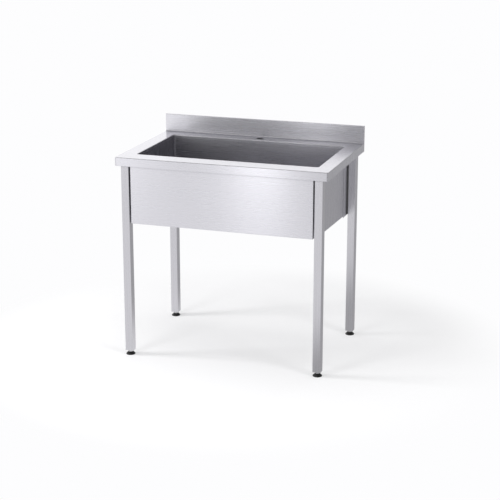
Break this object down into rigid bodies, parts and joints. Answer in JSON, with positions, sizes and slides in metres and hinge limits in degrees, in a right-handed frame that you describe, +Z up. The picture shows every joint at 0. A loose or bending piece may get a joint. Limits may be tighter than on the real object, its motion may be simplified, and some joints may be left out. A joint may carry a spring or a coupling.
{
  "type": "utility laundry sink",
  "caption": "Free-standing steel sink unit: a deep rectangular tub in a folded worktop with a back upstand, square tube legs, front and back aprons and levelling feet.",
  "frame": {"origin": "on the floor, under the middle of the worktop's outline", "axes": "+X to the user's right, -Y towards the user, +Y towards the wall, +Z up"},
  "size_m": [1, 0.65, 1.035],
  "materials": {
    "satin_sheet": "satin-polished stainless sheet, fine grain along its length",
    "leg_tube": "satin-polished square tube, grain along the leg",
    "frame_steel": "plain mill-finish stainless sheet",
    "fastener_steel": "bright stainless, turned and rolled",
    "waste_steel": "polished pressed stainless",
    "black_nylon": "moulded black polyamide",
    "grey_plastic": "moulded grey plastic",
    "seal_rubber": "matt black rubber"
  },
  "bodies": {
    "frame": {"worktop": "satin_sheet", "upstand_end_cap_left": "satin_sheet", "upstand_end_cap_right": "satin_sheet", "basin": "satin_sheet", "front_apron": "satin_sheet", "rear_apron": "satin_sheet", "front_rail": "frame_steel", "rear_rail": "frame_steel", "left_rail": "frame_steel", "right_rail": "frame_steel", "apron_bolts": "fastener_steel", "leg_screws": "fastener_steel", "leg_front_left": "leg_tube", "leg_bracket_front_left": "frame_steel", "leg_plug_front_left": "black_nylon", "leg_front_right": "leg_tube", "leg_bracket_front_right": "frame_steel", "leg_plug_front_right": "black_nylon", "leg_rear_right": "leg_tube", "leg_bracket_rear_right": "frame_steel", "leg_plug_rear_right": "black_nylon", "leg_rear_left": "leg_tube", "leg_bracket_rear_left": "frame_steel", "leg_plug_rear_left": "black_nylon", "waste_body": "waste_steel", "flange_seal": "seal_rubber", "waste_gasket": "seal_rubber", "slip_ring": "grey_plastic", "waste_locknut": "grey_plastic"},
    "strainer": {"strainer_basket": "waste_steel", "strainer_knob": "waste_steel", "strainer_stopper": "seal_rubber"},
    "foot_front_left": {"foot_pad_front_left": "black_nylon"},
    "spindle_front_left": {"foot_stem_front_left": "fastener_steel"},
    "foot_front_right": {"foot_pad_front_right": "black_nylon"},
    "spindle_front_right": {"foot_stem_front_right": "fastener_steel"},
    "foot_rear_right": {"foot_pad_rear_right": "black_nylon"},
    "spindle_rear_right": {"foot_stem_rear_right": "fastener_steel"},
    "foot_rear_left": {"foot_pad_rear_left": "black_nylon"},
    "spindle_rear_left": {"foot_stem_rear_left": "fastener_steel"}
  },
  "joints": [
    {"name": "strainer_lift", "type": "slide", "parent": "frame", "child": "strainer", "axis": [0, 0, 1], "range_m": [0, 0.12]},
    {"name": "foot_height_front_left", "type": "slide", "parent": "frame", "child": "foot_front_left", "axis": [0, 0, -1], "range_m": [-0.003, 0.03]},
    {"name": "spindle_turn_front_left", "type": "hinge", "parent": "foot_front_left", "child": "spindle_front_left", "pos_m": [-0.456, -0.294, 0.015], "axis": [0, 0, -1], "range_deg": [-721, 7201]},
    {"name": "foot_height_front_right", "type": "slide", "parent": "frame", "child": "foot_front_right", "axis": [0, 0, -1], "range_m": [-0.003, 0.03]},
    {"name": "spindle_turn_front_right", "type": "hinge", "parent": "foot_front_right", "child": "spindle_front_right", "pos_m": [0.456, -0.294, 0.015], "axis": [0, 0, -1], "range_deg": [-721, 7201]},
    {"name": "foot_height_rear_right", "type": "slide", "parent": "frame", "child": "foot_rear_right", "axis": [0, 0, -1], "range_m": [-0.003, 0.03]},
    {"name": "spindle_turn_rear_right", "type": "hinge", "parent": "foot_rear_right", "child": "spindle_rear_right", "pos_m": [0.456, 0.294, 0.015], "axis": [0, 0, -1], "range_deg": [-721, 7201]},
    {"name": "foot_height_rear_left", "type": "slide", "parent": "frame", "child": "foot_rear_left", "axis": [0, 0, -1], "range_m": [-0.003, 0.03]},
    {"name": "spindle_turn_rear_left", "type": "hinge", "parent": "foot_rear_left", "child": "spindle_rear_left", "pos_m": [-0.456, 0.294, 0.015], "axis": [0, 0, -1], "range_deg": [-721, 7201]}
  ],
  "couplings": [
    {"joint": "spindle_turn_front_left", "follows": "foot_height_front_left", "rad_per_m": 4188.8},
    {"joint": "spindle_turn_front_right", "follows": "foot_height_front_right", "rad_per_m": 4188.8},
    {"joint": "spindle_turn_rear_right", "follows": "foot_height_rear_right", "rad_per_m": 4188.8},
    {"joint": "spindle_turn_rear_left", "follows": "foot_height_rear_left", "rad_per_m": 4188.8}
  ]
}
